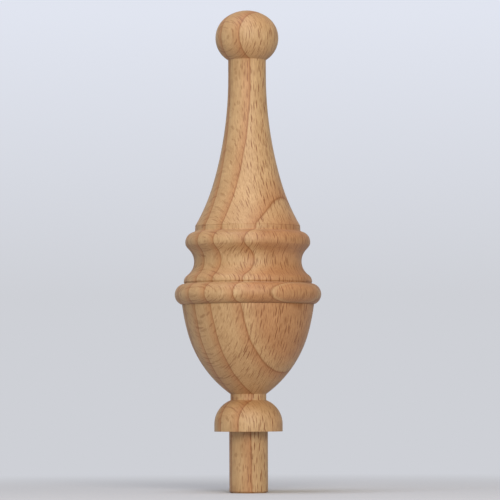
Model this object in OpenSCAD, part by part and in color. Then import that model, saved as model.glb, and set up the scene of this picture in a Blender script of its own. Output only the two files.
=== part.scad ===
// Turned wood finial, made in one piece on a lathe: a flattened ball on a bell-shaped neck,
// a bead, cove and ring above a round-bottomed bowl, and a half-round foot with a plain peg.
// Millimetres, +Z up. The origin is the middle of the foot's flat underside, where the peg begins.
// The ring, cove, bead and bell take their diameters from the bowl, so they widen with it.

/* [Peg] */
// Diameter of the peg
peg_d = 12; // [6:0.5:16]
// Length of the peg below the foot
peg_l = 19; // [8:0.5:40]
// Bevel round the end of the peg
peg_bevel = 0.5; // [0.1:0.1:1.5]

/* [Foot] */
// Diameter of the foot
foot_d = 21.2; // [17:0.1:30]
// Height of the foot's upright rim
foot_rim_h = 2.3; // [0.5:0.05:8]
// Radius of the round over the rim
foot_round_r = 7.95; // [6:0.05:8.5]
// Diameter of the small neck between foot and bowl
collar_d = 11.1; // [8:0.1:15]
// Height of that small neck
collar_h = 1.9; // [0.5:0.1:6]

/* [Bowl] */
// Diameter of the bowl's brim, under the ring
bowl_d = 41; // [34:0.1:48]
// Height from the small neck to the brim
bowl_h = 27.75; // [24:0.05:34]
// Lean of the bowl's side at the brim, in degrees
bowl_brim_lean = 7.5; // [5:0.1:9]
// Lean of the bowl's side where its flatter upper curve meets its rounder lower curve, in degrees
bowl_join_lean = 15.2; // [13:0.1:18]
// Lean of the bowl's side at the small neck, in degrees
bowl_foot_lean = 54.2; // [50:0.1:58]

/* [Ring] */
// How far the half-round ring stands out from the bowl
ring_out = 2.25; // [1:0.05:3]
// Radius of the ring's section
ring_r = 3.35; // [2.7:0.05:5]
// Height of the upright band above the ring
band_h = 0.5; // [0.2:0.1:4]
// How far the band stands in from the bowl
band_in = 0.55; // [0:0.05:0.8]
// Radius of the round on the band's upper edge
lip_r = 2.6; // [1:0.1:3]

/* [Cove] */
// How far the waist of the cove stands in from the bowl
cove_in = 3.8; // [3:0.1:5]
// Radius of the cove's hollow
cove_r = 5.25; // [4:0.05:6.5]
// Height from the waist up to the bead's lower edge
cove_upper_h = 5.1; // [4.5:0.1:7]
// Radius of the round between the hollow and the bead's lower edge
under_bead_r = 5.3; // [3:0.1:7]

/* [Bead] */
// How far the bead's lower edge stands in from the bowl
bead_in = 1.2; // [0.4:0.1:2]
// Radius of the bead's round
bead_r = 3.25; // [3:0.05:4.5]
// How far the round carries on under the bead's widest point, in degrees
bead_under = 16; // [0:1:30]
// How far the fillet between bead and bell stands in from the bowl
fillet_in = 4.15; // [3.5:0.05:4.4]
// Height of the fillet's upright face
fillet_h = 1.25; // [0.5:0.05:5]
// Radius of the small flare from the fillet out onto the bead
flare_r = 0.6; // [0.3:0.05:1.2]

/* [Bell] */
// Diameter of the straight part of the neck
neck_d = 11.75; // [8:0.05:14]
// Height of the bell, from the fillet to the straight neck
bell_h = 46.6; // [38:0.1:56]
// Lean of the bell's side where its long upper curve meets its tighter lower curve, in degrees
bell_join_lean = 16; // [14:0.1:18]
// Lean of the bell's side at its foot, in degrees
bell_foot_lean = 30.1; // [27:0.1:40]
// Height of the straight neck under the ball
neck_h = 5.15; // [1:0.05:20]

/* [Ball] */
// Diameter of the ball across the middle
ball_d = 19.6; // [17:0.1:24]
// Radius of the ball's section, under half its diameter, so that the ball is flattened
ball_round_r = 8; // [7:0.05:8.5]
// Lean at which the ball's section gives way to the shallower crown over its top
crown_lean = 36; // [20:1:60]

/* [Hidden] */
curve_error = 0.01;
$fn = 144;

// The other leg of a right triangle
function leg(hypotenuse, side) = sqrt(max(0, hypotenuse * hypotenuse - side * side));

// Direction from one point to another, in degrees
function bearing(from, to) = atan2(to.y - from.y, to.x - from.x);

// Angle at which an arc, centred on a given distance from the axis, reaches another distance
function meeting_angle(centre_r, radius, reached_r) = acos(min(1, max(0, (reached_r - centre_r) / radius)));

// Where two circles cross, on the right of the way from the first centre to the second
function crossing(a, a_r, b, b_r) =
    let (gap = norm(b - a), u = (b - a) / gap, along = (gap * gap + a_r * a_r - b_r * b_r) / (2 * gap))
    a + along * u + leg(a_r, along) * [u.y, -u.x];

// Radii of two arcs that share a tangent and together cover a run across and a rise up; the
// side leans by leans[0] at the start of the first, leans[1] where they meet, leans[2] at the end
function two_arc_radii(run, rise, leans) =
    let (
        run_a = cos(leans[0]) - cos(leans[1]), run_b = cos(leans[1]) - cos(leans[2]),
        rise_a = sin(leans[1]) - sin(leans[0]), rise_b = sin(leans[2]) - sin(leans[1]),
        det = run_a * rise_b - rise_a * run_b
    )
    [(run * rise_b - rise * run_b) / det, (rise * run_a - run * rise_a) / det];

// Points along an arc, close enough that no chord leaves the arc by more than curve_error
function arc(centre, radius, from, to) =
    let (steps = ceil(abs(to - from) / (2 * acos(1 - curve_error / radius))))
    [for (i = [0:steps]) let (a = from + (to - from) * i / steps) centre + radius * [cos(a), sin(a)]];

// Foot: its round rises from the rim to the small neck
foot_centre = [foot_d / 2 - foot_round_r, foot_rim_h];
foot_end = meeting_angle(foot_centre.x, foot_round_r, collar_d / 2);
collar_z = foot_rim_h + foot_round_r * sin(foot_end) + collar_h;

// Bowl: a rounder arc from the small neck, then a flatter one up to the brim
bowl_radii = two_arc_radii(
    (bowl_d - collar_d) / 2, bowl_h, [bowl_brim_lean, bowl_join_lean, bowl_foot_lean]);
brim = [bowl_d / 2, collar_z + bowl_h];
bowl_upper_centre = brim - bowl_radii[0] * [cos(bowl_brim_lean), -sin(bowl_brim_lean)];
bowl_lower_centre = bowl_upper_centre
    + (bowl_radii[0] - bowl_radii[1]) * [cos(bowl_join_lean), -sin(bowl_join_lean)];

// Ring and band: the ring's underside closes on the brim, and the band's edge rounds over into the cove
ring_x = brim.x + ring_out - ring_r;
ring_centre = [ring_x, brim.y + leg(ring_r, brim.x - ring_x)];
band_r = brim.x - band_in;
ring_end = meeting_angle(ring_centre.x, ring_r, band_r);
lip_centre = [band_r - lip_r, ring_centre.y + ring_r + band_h];

// Cove: its hollow touches the band's round below and the round under the bead above
cove_x = brim.x - cove_in + cove_r;
cove_centre = [cove_x, lip_centre.y + leg(cove_r + lip_r, cove_x - lip_centre.x)];
bead_edge = [brim.x - bead_in, cove_centre.y + cove_upper_h];
under_centre = crossing(bead_edge, under_bead_r, cove_centre, under_bead_r + cove_r);
lip_end = bearing(lip_centre, cove_centre);
under_start = bearing(under_centre, cove_centre);

// Bead and fillet: the fillet's foot flares out and touches the bead's round
bead_centre = bead_edge - bead_r * [cos(bead_under), -sin(bead_under)];
fillet_r = brim.x - fillet_in;
flare_x = fillet_r + flare_r;
flare_centre = [flare_x, bead_centre.y + leg(bead_r + flare_r, flare_x - bead_centre.x)];
bead_end = bearing(bead_centre, flare_centre);
fillet_top = flare_centre.y + fillet_h;

// Bell: a long arc down from the straight neck, then a tighter one out to the fillet
bell_radii = two_arc_radii(fillet_r - neck_d / 2, bell_h, [0, bell_join_lean, bell_foot_lean]);
bell_upper_centre = [neck_d / 2 + bell_radii[0], fillet_top + bell_h];
bell_lower_centre = bell_upper_centre
    - (bell_radii[0] - bell_radii[1]) * [cos(bell_join_lean), sin(bell_join_lean)];

// Ball: it closes on the straight neck, and a shallower crown runs into its round over the top
ball_x = ball_d / 2 - ball_round_r;
ball_start = meeting_angle(ball_x, ball_round_r, neck_d / 2);
ball_centre = [ball_x, bell_upper_centre.y + neck_h + ball_round_r * sin(ball_start)];
crown_r = ball_round_r + ball_x / sin(crown_lean);
crown_centre = [0, ball_centre.y - ball_x / tan(crown_lean)];

// The outline from the middle of the peg's end, up the outside, to the middle of the ball's top
outline = concat(
    [[0, -peg_l], [peg_d / 2 - peg_bevel, -peg_l], [peg_d / 2, -peg_l + peg_bevel], [peg_d / 2, 0]],
    [[foot_d / 2, 0]],
    arc(foot_centre, foot_round_r, 0, foot_end),
    arc(bowl_lower_centre, bowl_radii[1], -bowl_foot_lean, -bowl_join_lean),
    arc(bowl_upper_centre, bowl_radii[0], -bowl_join_lean, -bowl_brim_lean),
    arc(ring_centre, ring_r, bearing(ring_centre, brim), ring_end),
    arc(lip_centre, lip_r, 0, lip_end),
    arc(cove_centre, cove_r, 180 + lip_end, 180 + under_start),
    arc(under_centre, under_bead_r, under_start, bearing(under_centre, bead_edge)),
    arc(bead_centre, bead_r, -bead_under, bead_end),
    arc(flare_centre, flare_r, 180 + bead_end, 180),
    arc(bell_lower_centre, bell_radii[1], 180 + bell_foot_lean, 180 + bell_join_lean),
    arc(bell_upper_centre, bell_radii[0], 180 + bell_join_lean, 180),
    arc(ball_centre, ball_round_r, -ball_start, 90 - crown_lean),
    arc(crown_centre, crown_r, 90 - crown_lean, 90)
);

module finial() {
    color("burlywood") rotate_extrude() polygon(outline);
}

finial();
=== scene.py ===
"""A turned finial of sanded, unfinished beech: its lathe-turned body, its wood and a plain studio."""
import math

import bmesh
import bpy
from mathutils import Matrix, Vector


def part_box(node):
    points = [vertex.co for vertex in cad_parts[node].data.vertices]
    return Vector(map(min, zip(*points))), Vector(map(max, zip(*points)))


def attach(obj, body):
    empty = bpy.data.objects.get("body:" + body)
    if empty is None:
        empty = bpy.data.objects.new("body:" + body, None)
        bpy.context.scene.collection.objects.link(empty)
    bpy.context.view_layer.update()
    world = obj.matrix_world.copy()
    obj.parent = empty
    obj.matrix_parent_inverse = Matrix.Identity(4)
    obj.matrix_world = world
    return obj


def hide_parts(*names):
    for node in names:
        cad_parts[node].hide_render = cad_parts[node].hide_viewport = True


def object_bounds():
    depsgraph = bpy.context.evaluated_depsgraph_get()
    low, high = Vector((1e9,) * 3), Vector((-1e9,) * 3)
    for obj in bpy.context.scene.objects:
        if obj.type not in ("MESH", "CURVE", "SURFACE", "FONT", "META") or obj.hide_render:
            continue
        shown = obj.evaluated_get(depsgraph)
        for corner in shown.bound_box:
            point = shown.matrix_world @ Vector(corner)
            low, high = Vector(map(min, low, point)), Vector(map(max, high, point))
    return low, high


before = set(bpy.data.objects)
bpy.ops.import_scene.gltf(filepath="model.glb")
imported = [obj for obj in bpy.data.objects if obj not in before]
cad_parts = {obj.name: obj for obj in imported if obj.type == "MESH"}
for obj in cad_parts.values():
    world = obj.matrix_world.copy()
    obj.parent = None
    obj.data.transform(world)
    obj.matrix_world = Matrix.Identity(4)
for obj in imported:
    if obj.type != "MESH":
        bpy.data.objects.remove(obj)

bl_info = {
    "name": "Turned beech finial",
    "version": (1, 0, 0),
    "blender": (4, 5, 0),
    "location": "3D View > Sidebar > Finial",
    "description": "Turns a one-piece beech finial to size and sets it on a plain pale floor",
    "category": "Add Mesh",
}

MM = 0.001
CAD_LOW, CAD_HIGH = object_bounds()
NODE = "finial"
FLOOR_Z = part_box(NODE)[0].z
AXIS = Vector((0, 0, 1))
MERGE = 0.001 * MM  # points nearer to each other than this are one


# ---------------------------------------------------------------- sizes and colours

def linear(hex_colour):
    """An sRGB hex colour, such as #B69469, as linear red, green and blue."""
    channels = [int(hex_colour[i:i + 2], 16) / 255 for i in (1, 3, 5)]
    return tuple(c / 12.92 if c <= 0.04045 else ((c + 0.055) / 1.055) ** 2.4 for c in channels)


def length(name, description, millimetres):
    """A length that is written in millimetres and kept in metres."""
    return bpy.props.FloatProperty(
        name=name, description=description, default=millimetres * MM, min=0, unit="LENGTH", precision=5)


def lean(name, description, degrees):
    """An angle that is written in degrees and kept in radians."""
    return bpy.props.FloatProperty(
        name=name, description=description, default=math.radians(degrees), subtype="ANGLE")


def colour(name, description, hex_colour):
    """A colour that is written in sRGB hex and kept linear."""
    return bpy.props.FloatVectorProperty(
        name=name, description=description, default=linear(hex_colour), subtype="COLOR", min=0, max=1)


class FinialSizes(bpy.types.PropertyGroup):
    """Sizes of the turned outline, from the peg up to the ball."""
    peg_d: length("Peg diameter", "Diameter of the peg", 12)
    peg_l: length("Peg length", "Length of the peg below the foot", -CAD_LOW.z / MM)
    peg_bevel: length("Peg bevel", "Bevel round the end of the peg", 0.5)
    foot_d: length("Foot diameter", "Diameter of the half-round foot", 21.2)
    foot_rim_h: length("Foot rim", "Height of the foot's upright rim", 2.3)
    foot_round_r: length("Foot round", "Radius of the round over the rim", 7.95)
    collar_d: length("Collar diameter", "Diameter of the small neck between foot and bowl", 11.1)
    collar_h: length("Collar height", "Height of that small neck", 1.9)
    bowl_d: length("Bowl diameter", "Diameter of the bowl's brim, under the ring", 41)
    bowl_h: length("Bowl height", "Height from the small neck to the brim", 27.75)
    bowl_brim_lean: lean("Brim lean", "Lean of the bowl's side at the brim", 7.5)
    bowl_join_lean: lean("Bowl join lean", "Lean where the bowl's two curves meet", 15.2)
    bowl_foot_lean: lean("Bowl foot lean", "Lean of the bowl's side at the small neck", 54.2)
    ring_out: length("Ring projection", "How far the ring stands out from the brim", 2.25)
    ring_r: length("Ring radius", "Radius of the ring's section", 3.35)
    band_h: length("Band height", "Height of the upright band above the ring", 0.5)
    band_in: length("Band inset", "How far the band stands in from the brim", 0.55)
    lip_r: length("Lip radius", "Round on the band's upper edge", 2.6)
    cove_in: length("Cove inset", "How far the cove's waist stands in from the brim", 3.8)
    cove_r: length("Cove radius", "Radius of the cove's hollow", 5.25)
    cove_upper_h: length("Cove height", "Height from the cove's waist to the bead's lower edge", 5.1)
    under_bead_r: length("Under-bead radius", "Round between the hollow and the bead's lower edge", 5.3)
    bead_in: length("Bead inset", "How far the bead's lower edge stands in from the brim", 1.2)
    bead_r: length("Bead radius", "Radius of the bead's round", 3.25)
    bead_under: lean("Bead underside", "How far the round carries on under its widest point", 16)
    fillet_in: length("Fillet inset", "How far the fillet stands in from the brim", 4.15)
    fillet_h: length("Fillet height", "Height of the fillet's upright face", 1.25)
    flare_r: length("Flare radius", "Small flare from the fillet out onto the bead", 0.6)
    neck_d: length("Neck diameter", "Diameter of the straight part of the neck", 11.75)
    bell_h: length("Bell height", "Height from the fillet to the straight neck", 46.6)
    bell_join_lean: lean("Bell join lean", "Lean where the bell's two curves meet", 16)
    bell_foot_lean: lean("Bell foot lean", "Lean of the bell's side at its foot", 30.1)
    neck_h: length("Neck height", "Height of the straight neck under the ball", 5.15)
    ball_d: length("Ball diameter", "Diameter of the ball across the middle", 19.6)
    ball_round_r: length("Ball section radius", "Radius of the ball's section", 8)
    crown_lean: lean("Crown lean", "Lean at which the ball's round gives way to its shallower crown", 36)
    quirk: length("Quirk", "Depth of the fine grooves cut between the mouldings", 0.2)
    easing: length("Easing", "How far sanding has eased each sharp edge", 0.12)
    turns: bpy.props.IntProperty(
        name="Facets round", description="Faces round the axis", default=288, min=32, max=360)


class BeechFinish(bpy.types.PropertyGroup):
    """Colours and grain sizes of the beech."""
    earlywood: colour("Earlywood", "Wood grown at the start of each ring", "#B69469")
    latewood: colour("Latewood", "Denser wood grown at the end of each ring", "#AB7E53")
    ring_line: colour("Ring line", "Thin dark line that ends each ring", "#8C5A2E")
    ray: colour("Rays", "The short dark spindles that mark beech", "#743E14")
    # Partly end grain's own tone, partly painted shade on faces that turn up or down
    end_grain_and_shade: colour("End grain", "Tint of faces cut across the fibres", "#F2DDC4")
    ring_bearing: lean("Ring bearing", "Direction, from +X towards -Y, in which the tree grew", 50.5)
    inner_bow: length("Inner ring radius", "Radius to which the rings bow, through the middle", 60)
    outer_bow: length("Outer ring radius", "Radius to which the outermost rings bow", 160)
    ray_height: length("Ray height", "Height of a large ray along the grain", 3.1)
    ray_width: length("Ray width", "Thickness of a large ray", 0.3)


class StudioSettings(bpy.types.PropertyGroup):
    """Floor, light and camera."""
    backdrop: colour("Backdrop", "Colour of the space behind the piece, near the floor", "#CED0D6")
    backdrop_top: colour("Backdrop top", "Colour of that space higher up", "#E1E5F0")
    paper: colour("Paper", "Colour of the floor", "#C8C8C8")
    room: colour("Room", "Colour of the soft light from all round", "#FFF6EA")
    camera_distance: length("Camera distance", "From the axis to the camera", 1090)
    camera_height: length("Camera height", "Height of the camera over the foot's underside", 9.85)
    aim_height: length("Aim height", "Height at which the camera looks", 56.31)
    camera_aside: length("Camera offset", "How far the camera stands to the right of the axis", 0.69)
    camera_roll: lean("Camera roll", "Roll of the camera about its line of sight", 0.24)
    focal_length: bpy.props.FloatProperty(
        name="Focal length", description="Lens focal length in millimetres", default=252.8)


# ---------------------------------------------------------------- the turned outline

def leg(hypotenuse, side):
    """The other leg of a right triangle."""
    return math.sqrt(max(0, hypotenuse * hypotenuse - side * side))


def bearing(start, end):
    """Direction from one point to another."""
    return math.atan2(end.y - start.y, end.x - start.x)


def meeting_angle(centre_r, radius, reached_r):
    """Angle at which an arc centred at one distance from the axis reaches another distance."""
    return math.acos(min(1, max(0, (reached_r - centre_r) / radius)))


def towards(angle):
    """A step of one metre in a direction."""
    return Vector((math.cos(angle), math.sin(angle)))


def crossing(a, a_r, b, b_r):
    """Where two circles cross, on the right of the way from the first centre to the second."""
    gap = (b - a).length
    u = (b - a) / gap
    along = (gap * gap + a_r * a_r - b_r * b_r) / (2 * gap)
    return a + along * u + leg(a_r, along) * Vector((u.y, -u.x))


def two_arc_radii(run, rise, leans):
    """Radii of two arcs that share a tangent, from the leans at their start, join and end."""
    run_a = math.cos(leans[0]) - math.cos(leans[1])
    run_b = math.cos(leans[1]) - math.cos(leans[2])
    rise_a = math.sin(leans[1]) - math.sin(leans[0])
    rise_b = math.sin(leans[2]) - math.sin(leans[1])
    det = run_a * rise_b - rise_a * run_b
    return (run * rise_b - rise * run_b) / det, (rise * run_a - run * rise_a) / det


def arc(centre, radius, start, end):
    """Points along an arc, close enough to look smooth at arm's length."""
    chord_error = 0.01 * MM
    steps = math.ceil(abs(end - start) / (2 * math.acos(1 - chord_error / radius)))
    return [centre + radius * towards(start + (end - start) * i / steps) for i in range(steps + 1)]


def quirk(radius, top, depth):
    """A fine shallow groove cut in an upright face, steeper above than below."""
    height, bottom = 5 * depth, 2 * depth
    return [
        Vector((radius, top - height)),
        Vector((radius - depth, top - bottom)),
        Vector((radius, top)),
    ]


def outline(s):
    """The outline as (distance from the axis, height), from the peg's end up to the ball's top."""
    foot_centre = Vector((s.foot_d / 2 - s.foot_round_r, s.foot_rim_h))
    foot_end = meeting_angle(foot_centre.x, s.foot_round_r, s.collar_d / 2)
    collar_z = s.foot_rim_h + s.foot_round_r * math.sin(foot_end) + s.collar_h

    brim = Vector((s.bowl_d / 2, collar_z + s.bowl_h))
    bowl_r, bowl_lower_r = two_arc_radii(
        brim.x - s.collar_d / 2, s.bowl_h, (s.bowl_brim_lean, s.bowl_join_lean, s.bowl_foot_lean))
    bowl_centre = brim - bowl_r * towards(-s.bowl_brim_lean)
    bowl_lower_centre = bowl_centre + (bowl_r - bowl_lower_r) * towards(-s.bowl_join_lean)

    ring_x = brim.x + s.ring_out - s.ring_r
    ring_centre = Vector((ring_x, brim.y + leg(s.ring_r, brim.x - ring_x)))
    band_r = brim.x - s.band_in
    ring_end = meeting_angle(ring_x, s.ring_r, band_r)
    lip_centre = Vector((band_r - s.lip_r, ring_centre.y + s.ring_r + s.band_h))

    cove_x = brim.x - s.cove_in + s.cove_r
    cove_centre = Vector((cove_x, lip_centre.y + leg(s.cove_r + s.lip_r, cove_x - lip_centre.x)))
    bead_edge = Vector((brim.x - s.bead_in, cove_centre.y + s.cove_upper_h))
    under_centre = crossing(bead_edge, s.under_bead_r, cove_centre, s.under_bead_r + s.cove_r)
    lip_end = bearing(lip_centre, cove_centre)
    under_start = bearing(under_centre, cove_centre)

    bead_centre = bead_edge - s.bead_r * towards(-s.bead_under)
    fillet_r = brim.x - s.fillet_in
    flare_x = fillet_r + s.flare_r
    flare_centre = Vector((flare_x, bead_centre.y + leg(s.bead_r + s.flare_r, flare_x - bead_centre.x)))
    bead_end = bearing(bead_centre, flare_centre)
    fillet_top = flare_centre.y + s.fillet_h

    bell_r, bell_lower_r = two_arc_radii(
        fillet_r - s.neck_d / 2, s.bell_h, (0, s.bell_join_lean, s.bell_foot_lean))
    bell_centre = Vector((s.neck_d / 2 + bell_r, fillet_top + s.bell_h))
    bell_lower_centre = bell_centre - (bell_r - bell_lower_r) * towards(s.bell_join_lean)

    ball_x = s.ball_d / 2 - s.ball_round_r
    ball_start = meeting_angle(ball_x, s.ball_round_r, s.neck_d / 2)
    ball_centre = Vector((ball_x, bell_centre.y + s.neck_h + s.ball_round_r * math.sin(ball_start)))
    crown_r = s.ball_round_r + ball_x / math.sin(s.crown_lean)
    crown_centre = Vector((0, ball_centre.y - ball_x / math.tan(s.crown_lean)))

    half_turn = math.pi
    upright = math.pi / 2
    peg_r = s.peg_d / 2
    return [
        Vector((0, -s.peg_l)),
        Vector((peg_r - s.peg_bevel, -s.peg_l)),
        Vector((peg_r, -s.peg_l + s.peg_bevel)),
        Vector((peg_r, 0)),
        Vector((s.foot_d / 2, 0)),
        *arc(foot_centre, s.foot_round_r, 0, foot_end),
        *arc(bowl_lower_centre, bowl_lower_r, -s.bowl_foot_lean, -s.bowl_join_lean),
        *arc(bowl_centre, bowl_r, -s.bowl_join_lean, -s.bowl_brim_lean),
        brim - Vector((s.quirk, 0)),
        *arc(ring_centre, s.ring_r, bearing(ring_centre, brim), ring_end)[1:],
        *quirk(band_r, lip_centre.y, s.quirk),
        *arc(lip_centre, s.lip_r, 0, lip_end),
        *arc(cove_centre, s.cove_r, half_turn + lip_end, half_turn + under_start),
        *arc(under_centre, s.under_bead_r, under_start, bearing(under_centre, bead_edge)),
        *arc(bead_centre, s.bead_r, -s.bead_under, bead_end),
        *arc(flare_centre, s.flare_r, half_turn + bead_end, half_turn),
        *quirk(fillet_r, fillet_top, s.quirk / 2),
        *arc(bell_lower_centre, bell_lower_r, half_turn + s.bell_foot_lean, half_turn + s.bell_join_lean),
        *arc(bell_centre, bell_r, half_turn + s.bell_join_lean, half_turn),
        *arc(ball_centre, s.ball_round_r, -ball_start, upright - s.crown_lean),
        *arc(crown_centre, crown_r, upright - s.crown_lean, upright),
    ]


def turned_mesh(sizes):
    """The outline spun round the axis, with every sharp edge eased as sanding leaves it."""
    bm = bmesh.new()
    rim = [bm.verts.new((p.x, 0, p.y)) for p in outline(sizes)]
    for low, high in zip(rim, rim[1:]):
        bm.edges.new((low, high))
    bmesh.ops.remove_doubles(bm, verts=bm.verts, dist=MERGE)
    bmesh.ops.spin(
        bm, geom=bm.verts[:] + bm.edges[:], cent=(0, 0, 0), axis=AXIS,
        angle=2 * math.pi, steps=sizes.turns, use_merge=True)
    bmesh.ops.remove_doubles(bm, verts=bm.verts, dist=MERGE)
    bmesh.ops.recalc_face_normals(bm, faces=bm.faces)
    sharp_from = math.radians(18)
    sharp = [e for e in bm.edges if e.is_manifold and e.calc_face_angle() > sharp_from]
    bmesh.ops.bevel(
        bm, geom=sharp, offset=sizes.easing, offset_type="OFFSET", segments=3, profile=0.5,
        affect="EDGES", clamp_overlap=True, material=-1)
    for face in bm.faces:
        face.smooth = True
    mesh = bpy.data.meshes.new("Turned finial")
    bm.to_mesh(mesh)
    bm.free()
    return mesh


# ---------------------------------------------------------------- materials

def add(tree, kind, settings, inputs):
    """Adds a node, sets its fields, and gives each input a value or another node's output."""
    made = tree.nodes.new(kind)
    for name, value in settings.items():
        setattr(made, name, value)
    for name, value in inputs.items():
        if isinstance(value, bpy.types.NodeSocket):
            tree.links.new(value, made.inputs[name])
        else:
            made.inputs[name].default_value = value
    return made


def set_stops(ramp, stops):
    """Gives a colour ramp its stops, as (position, linear colour)."""
    elements = ramp.color_ramp.elements
    elements[0].position, elements[1].position = 0, 1
    for position, shade in stops:
        elements.new(min(0.999, max(0.001, position))).color = (*shade, 1)
    elements[0].color = elements[1].color
    elements[-1].color = elements[-2].color


def new_material(name):
    material = bpy.data.materials.new(name)
    material.use_nodes = True
    material.node_tree.nodes.clear()
    return material, material.node_tree


def sanded_beech(wood):
    """Unfinished beech, turned and sanded: fine-pored, matt, pinkish tan, with dark ray spindles.

    The texture is solid, so the rings, rays and pores run through the piece and show on each
    moulding as a cut through the tree would.
    """
    material, tree = new_material("Sanded beech")

    # Grain coordinates in millimetres: X across the rings, Y along them, Z along the fibres
    place = add(tree, "ShaderNodeTexCoord", {}, {})
    grain = add(tree, "ShaderNodeMapping", {}, {
        "Vector": place.outputs["Object"],
        "Rotation": (0, 0, wood.ring_bearing),
        "Scale": (1 / MM,) * 3,
    }).outputs["Vector"]
    part = add(tree, "ShaderNodeSeparateXYZ", {}, {"Vector": grain})

    # Rings: a little wavy, bowed round the tree's middle and flatter further out
    waviness, waves_per_mm = 0.8, 0.11
    pith_aside = 14.0
    flatter_from, flattest_at = 11.0, 21.0
    wave = add(tree, "ShaderNodeTexNoise", {}, {
        "Vector": grain, "Scale": waves_per_mm, "Detail": 2.0})
    waved = add(tree, "ShaderNodeMath", {"operation": "MULTIPLY_ADD"}, {
        0: wave.outputs["Fac"], 1: waviness, 2: -waviness / 2})
    nearest = add(tree, "ShaderNodeMath", {"operation": "ADD"}, {
        0: part.outputs["X"], 1: waved.outputs[0]})
    aside = add(tree, "ShaderNodeMath", {"operation": "ADD"}, {
        0: part.outputs["Y"], 1: pith_aside})
    squared = add(tree, "ShaderNodeMath", {"operation": "MULTIPLY"}, {
        0: aside.outputs[0], 1: aside.outputs[0]})
    bow = add(tree, "ShaderNodeMapRange", {}, {
        "Value": part.outputs["X"], "From Min": flatter_from, "From Max": flattest_at,
        "To Min": MM / (2 * wood.inner_bow), "To Max": MM / (2 * wood.outer_bow)})
    depth = add(tree, "ShaderNodeMath", {"operation": "MULTIPLY_ADD"}, {
        0: squared.outputs[0], 1: bow.outputs["Result"], 2: nearest.outputs[0]})

    # The colour ramp spans the whole piece, and each ring in it runs pale, then dense, then a line
    reach = 24
    along = add(tree, "ShaderNodeMapRange", {}, {
        "Value": depth.outputs[0], "From Min": -reach, "From Max": reach})
    rings = add(tree, "ShaderNodeValToRGB", {}, {"Fac": along.outputs["Result"]})
    ring_ends = (-20.5, -14.2, -7.3, -0.5, 6.2, 14.4, 21.4)
    darkening, broad_darkening = 3, 6.5
    line_from, line_middle, line_past = 0.4, 0.14, 0.1
    # The outermost ring is broad, and dense through most of its width, as is the one past it
    shades = [(17.5, wood.latewood), (22.1, wood.latewood)]
    for end in ring_ends:
        pale_until = broad_darkening if end == ring_ends[-1] else darkening
        shades += [
            (end - pale_until, wood.earlywood), (end - line_from, wood.latewood),
            (end - line_middle, wood.ring_line), (end + line_past, wood.earlywood),
        ]
    set_stops(rings, [((at + reach) / (2 * reach), shade) for at, shade in shades])

    def rays(cell, half, seed):
        """Thin upright sheets that run across the rings, seen as short dark spindles.

        One ray grows in each cell; cell and half give its spacing and half its size, in
        millimetres along the ray, through its thickness and up the fibres.
        """
        solid_to, faded_at = 0.7, 1.1
        at = add(tree, "ShaderNodeMapping", {}, {
            "Vector": grain, "Location": (seed, seed, seed), "Scale": [1 / c for c in cell]})
        cells = add(tree, "ShaderNodeTexVoronoi", {"feature": "F1"}, {
            "Vector": at.outputs["Vector"], "Scale": 1.0, "Randomness": 1.0})
        away = add(tree, "ShaderNodeVectorMath", {"operation": "SUBTRACT"}, {
            0: at.outputs["Vector"], 1: cells.outputs["Position"]})
        fitted = add(tree, "ShaderNodeVectorMath", {"operation": "MULTIPLY"}, {
            0: away.outputs["Vector"], 1: [c / h for c, h in zip(cell, half)]})
        reach_out = add(tree, "ShaderNodeVectorMath", {"operation": "LENGTH"}, {
            0: fitted.outputs["Vector"]})
        inside = add(tree, "ShaderNodeMapRange", {}, {
            "Value": reach_out.outputs["Value"], "From Min": faded_at, "From Max": solid_to})
        random = add(tree, "ShaderNodeSeparateColor", {}, {"Color": cells.outputs["Color"]})
        strength = add(tree, "ShaderNodeMapRange", {}, {
            "Value": random.outputs["Red"], "To Min": 0.55, "To Max": 1.15})
        return add(tree, "ShaderNodeMath", {"operation": "MULTIPLY"}, {
            0: inside.outputs["Result"], 1: strength.outputs["Result"]}).outputs[0]

    height, width = wood.ray_height / MM, wood.ray_width / MM
    large = rays(cell=(6.5, 0.95, 3.1), half=(3.2, width / 2, height / 2), seed=0)
    small = rays(cell=(5, 0.8, 1.8), half=(2.4, width / 2.4, height / 4), seed=37)
    small_strength = 0.4

    # Fibres and pores, a third of a millimetre across: a little coarse, so that they show
    fibres_per_mm = (3, 3, 0.3)
    fibre_at = add(tree, "ShaderNodeMapping", {}, {"Vector": grain, "Scale": fibres_per_mm})
    fibres = add(tree, "ShaderNodeTexNoise", {}, {
        "Vector": fibre_at.outputs["Vector"], "Scale": 1.0, "Detail": 3.0, "Roughness": 0.7})
    blotches_per_mm = 0.16
    mottle = add(tree, "ShaderNodeTexNoise", {}, {
        "Vector": grain, "Scale": blotches_per_mm, "Detail": 3.0})

    fibre_light = add(tree, "ShaderNodeMapRange", {}, {
        "Value": fibres.outputs["Fac"], "From Min": 0.3, "From Max": 0.7,
        "To Min": 0.8, "To Max": 1.17})
    mottle_light = add(tree, "ShaderNodeMapRange", {}, {
        "Value": mottle.outputs["Fac"], "From Min": 0.3, "From Max": 0.7,
        "To Min": 0.9, "To Max": 1.09})
    light = add(tree, "ShaderNodeMath", {"operation": "MULTIPLY"}, {
        0: fibre_light.outputs["Result"], 1: mottle_light.outputs["Result"]})
    # Darker fibres are browner too, so blue falls off faster than red
    tinted = add(tree, "ShaderNodeVectorMath", {"operation": "MULTIPLY_ADD"}, {
        0: light.outputs[0], 1: (0.75, 1.0, 1.3), 2: (0.25, 0.0, -0.3)})
    ringed = add(tree, "ShaderNodeVectorMath", {"operation": "MULTIPLY"}, {
        0: rings.outputs["Color"], 1: tinted.outputs["Vector"]})
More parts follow.
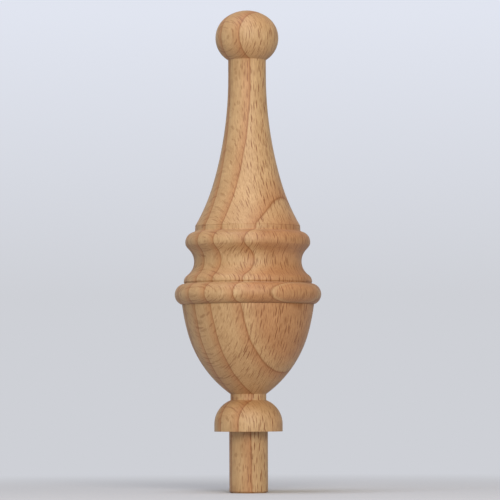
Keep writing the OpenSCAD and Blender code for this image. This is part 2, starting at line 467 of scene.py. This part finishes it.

    # Faces that turn up or down, across the fibres, get a darker, redder tint. This is partly end grain's
    # own darker tone and partly painted shade: it stands in for the warm dim light on the downward faces
    facing = add(tree, "ShaderNodeSeparateXYZ", {}, {"Vector": place.outputs["Normal"]})
    across = add(tree, "ShaderNodeMath", {"operation": "ABSOLUTE"}, {0: facing.outputs["Z"]})
    end_grain_and_shade = add(tree, "ShaderNodeMapRange", {}, {
        "Value": across.outputs[0], "From Min": 0.1, "From Max": 0.9, "To Max": 0.7})
    end_grain_and_shade_tinted = add(tree, "ShaderNodeMix", {"data_type": "RGBA", "blend_type": "MULTIPLY"}, {
        "Factor": end_grain_and_shade.outputs["Result"], "A": ringed.outputs["Vector"],
        "B": (*wood.end_grain_and_shade, 1)})

    # A ray cut across is a dark spindle; cut along its length or from its end it is a pale fleck
    along_rays = (math.sin(wood.ring_bearing), math.cos(wood.ring_bearing), 0)
    sideways = add(tree, "ShaderNodeVectorMath", {"operation": "DOT_PRODUCT"}, {
        0: place.outputs["Normal"], 1: along_rays})
    lengthwise = add(tree, "ShaderNodeMath", {"operation": "ABSOLUTE"}, {
        0: sideways.outputs["Value"]})
    slanted = add(tree, "ShaderNodeMath", {"operation": "MAXIMUM"}, {
        0: lengthwise.outputs[0], 1: across.outputs[0]})
    ray_depth = add(tree, "ShaderNodeMapRange", {}, {
        "Value": slanted.outputs[0], "From Min": 0.35, "From Max": 0.95,
        "To Min": 1.0, "To Max": 0.2})
    small_amount = add(tree, "ShaderNodeMath", {"operation": "MULTIPLY"}, {
        0: small, 1: small_strength})
    large_amount = add(tree, "ShaderNodeMath", {"operation": "MULTIPLY"}, {
        0: large, 1: ray_depth.outputs["Result"]})
    rayed = add(tree, "ShaderNodeMix", {"data_type": "RGBA"}, {
        "Factor": small_amount.outputs[0], "A": end_grain_and_shade_tinted.outputs[2], "B": (*wood.ray, 1)})
    coloured = add(tree, "ShaderNodeMix", {"data_type": "RGBA"}, {
        "Factor": large_amount.outputs[0], "A": rayed.outputs[2], "B": (*wood.ray, 1)})

    # Relief: pores and rays a few hundredths of a millimetre deep, and faint lathe lines
    relief_depth = 0.03 * MM
    lathe_lines_per_mm = (0.02, 0.02, 2.6)
    lathe_at = add(tree, "ShaderNodeMapping", {}, {
        "Vector": grain, "Scale": lathe_lines_per_mm})
    lathe = add(tree, "ShaderNodeTexNoise", {}, {
        "Vector": lathe_at.outputs["Vector"], "Scale": 1.0, "Detail": 2.0})
    fibre_relief = add(tree, "ShaderNodeMath", {"operation": "MULTIPLY_ADD"}, {
        0: fibres.outputs["Fac"], 1: 0.7, 2: lathe.outputs["Fac"]})
    relief = add(tree, "ShaderNodeMath", {"operation": "MULTIPLY_ADD"}, {
        0: large, 1: -0.5, 2: fibre_relief.outputs[0]})
    bump = add(tree, "ShaderNodeBump", {}, {
        "Height": relief.outputs[0], "Strength": 0.5, "Distance": relief_depth})
    rough = add(tree, "ShaderNodeMapRange", {}, {
        "Value": fibres.outputs["Fac"], "To Min": 0.5, "To Max": 0.7})
    surface = add(tree, "ShaderNodeBsdfPrincipled", {}, {
        "Base Color": coloured.outputs[2], "Roughness": rough.outputs["Result"],
        "Normal": bump.outputs["Normal"], "IOR": 1.5,
        "Sheen Weight": 0.12, "Sheen Roughness": 0.4})
    add(tree, "ShaderNodeOutputMaterial", {}, {"Surface": surface.outputs["BSDF"]})
    return material


def seamless_paper(studio):
    """Pale matt paper: it takes the shadow near the piece and fades into the space behind it."""
    material, tree = new_material("Seamless paper")
    place = add(tree, "ShaderNodeTexCoord", {}, {})
    away = add(tree, "ShaderNodeVectorMath", {"operation": "LENGTH"}, {
        0: place.outputs["Object"]})
    fade = add(tree, "ShaderNodeMapRange", {"interpolation_type": "SMOOTHSTEP"}, {
        "Value": away.outputs["Value"], "From Min": 60 * MM, "From Max": 300 * MM})
    path = add(tree, "ShaderNodeLightPath", {}, {})
    seen = add(tree, "ShaderNodeMath", {"operation": "MULTIPLY"}, {
        0: fade.outputs["Result"], 1: path.outputs["Is Camera Ray"]})
    paper = add(tree, "ShaderNodeBsdfDiffuse", {}, {"Color": (*studio.paper, 1)})
    space = add(tree, "ShaderNodeEmission", {}, {
        "Color": (*studio.backdrop, 1), "Strength": 1.0})
    mixed = add(tree, "ShaderNodeMixShader", {}, {
        0: seen.outputs[0], 1: paper.outputs["BSDF"], 2: space.outputs["Emission"]})
    add(tree, "ShaderNodeOutputMaterial", {}, {"Surface": mixed.outputs["Shader"]})
    return material


# ---------------------------------------------------------------- operators

class FINIAL_OT_turn(bpy.types.Operator):
    """Turn the finial and give it its beech"""
    bl_idname = "finial.turn"
    bl_label = "Turn finial"

    def execute(self, context):
        mesh = turned_mesh(context.scene.finial_sizes)
        piece = bpy.data.objects.new("Finial_beech", mesh)
        context.scene.collection.objects.link(piece)
        mesh.materials.append(sanded_beech(context.scene.finial_wood))
        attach(piece, "root")
        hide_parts(NODE)
        return {"FINISHED"}


class FINIAL_OT_stage(bpy.types.Operator):
    """Set out the floor, the light and the camera"""
    bl_idname = "finial.stage"
    bl_label = "Set the stage"

    def execute(self, context):
        studio = context.scene.finial_studio
        self.lay_floor(context, studio)
        self.hang_lamps(context)
        self.light_world(context, studio)
        self.place_camera(context, studio)
        context.scene.view_settings.view_transform = "Standard"
        return {"FINISHED"}

    def lay_floor(self, context, studio):
        far_off = 2
        bm = bmesh.new()
        bmesh.ops.create_circle(
            bm, cap_ends=True, segments=96, radius=far_off,
            matrix=Matrix.Translation((0, 0, FLOOR_Z)))
        mesh = bpy.data.meshes.new("Floor")
        bm.to_mesh(mesh)
        bm.free()
        mesh.materials.append(seamless_paper(studio))
        floor = bpy.data.objects.new("Floor", mesh)
        context.scene.collection.objects.link(floor)

    def hang_lamps(self, context):
        lit_point = Vector((0, 0, 0.05))
        # Name, place and size in metres, power in watts, and colour
        lamps = (
            ("Front softbox", (0.12, -1.1, 0.5), 0.6, 11.8, "#FFF8F1"),
            ("Window", (-0.2, -0.3, 1.2), 0.7, 8.5, "#DCE7FF"),
        )
        for name, place, size, watts, tint in lamps:
            lamp = bpy.data.lights.new(name, "AREA")
            lamp.size = size
            lamp.energy = watts
            lamp.color = linear(tint)
            holder = bpy.data.objects.new(name, lamp)
            holder.location = place
            aim = lit_point - Vector(place)
            holder.rotation_euler = aim.to_track_quat("-Z", "Y").to_euler()
            context.scene.collection.objects.link(holder)

    def light_world(self, context, studio):
        world = bpy.data.worlds.new("Pale room")
        world.use_nodes = True
        tree = world.node_tree
        tree.nodes.clear()
        path = add(tree, "ShaderNodeLightPath", {}, {})
        room = add(tree, "ShaderNodeBackground", {}, {"Color": (*studio.room, 1), "Strength": 0.33})
        # The backdrop is lit from above, so it grows paler a few degrees over the horizon.
        # Both heights are those of a line of sight one metre long.
        paler_from, palest_at = 0.03, 0.11
        direction = add(tree, "ShaderNodeSeparateXYZ", {}, {
            "Vector": add(tree, "ShaderNodeTexCoord", {}, {}).outputs["Generated"]})
        rise = add(tree, "ShaderNodeMapRange", {}, {
            "Value": direction.outputs["Z"], "From Min": paler_from, "From Max": palest_at})
        space = add(tree, "ShaderNodeMix", {"data_type": "RGBA"}, {
            "Factor": rise.outputs["Result"],
            "A": (*studio.backdrop, 1), "B": (*studio.backdrop_top, 1)})
        seen = add(tree, "ShaderNodeBackground", {}, {"Color": space.outputs[2], "Strength": 1.0})
        mixed = add(tree, "ShaderNodeMixShader", {}, {
            0: path.outputs["Is Camera Ray"],
            1: room.outputs["Background"], 2: seen.outputs["Background"]})
        add(tree, "ShaderNodeOutputWorld", {}, {"Surface": mixed.outputs["Shader"]})
        context.scene.world = world

    def place_camera(self, context, studio):
        lens = bpy.data.cameras.new("Camera")
        lens.lens = studio.focal_length
        camera = bpy.data.objects.new("Camera", lens)
        camera.location = (studio.camera_aside, -studio.camera_distance, studio.camera_height)
        aim = Vector((studio.camera_aside, 0, studio.aim_height)) - camera.location
        level = aim.to_track_quat("-Z", "Y").to_matrix()
        camera.rotation_euler = (level @ Matrix.Rotation(-studio.camera_roll, 3, "Z")).to_euler()
        context.scene.collection.objects.link(camera)
        context.scene.camera = camera


class FINIAL_PT_panel(bpy.types.Panel):
    """Buttons and sizes of the finial"""
    bl_idname = "FINIAL_PT_panel"
    bl_label = "Turned finial"
    bl_space_type = "VIEW_3D"
    bl_region_type = "UI"
    bl_category = "Finial"

    def draw(self, context):
        layout = self.layout
        layout.operator(FINIAL_OT_turn.bl_idname)
        layout.operator(FINIAL_OT_stage.bl_idname)
        scene = context.scene
        for group in (scene.finial_sizes, scene.finial_wood, scene.finial_studio):
            box = layout.box()
            for name in group.bl_rna.properties.keys():
                if name not in {"rna_type", "name"}:
                    box.prop(group, name)


CLASSES = (FinialSizes, BeechFinish, StudioSettings, FINIAL_OT_turn, FINIAL_OT_stage, FINIAL_PT_panel)
GROUPS = {"finial_sizes": FinialSizes, "finial_wood": BeechFinish, "finial_studio": StudioSettings}


def register():
    for cls in CLASSES:
        bpy.utils.register_class(cls)
    for name, group in GROUPS.items():
        setattr(bpy.types.Scene, name, bpy.props.PointerProperty(type=group))


def unregister():
    for name in GROUPS:
        delattr(bpy.types.Scene, name)
    for cls in reversed(CLASSES):
        bpy.utils.unregister_class(cls)


def main():
    register()
    bpy.ops.finial.turn()
    bpy.ops.finial.stage()


if __name__ == "__main__":
    main()
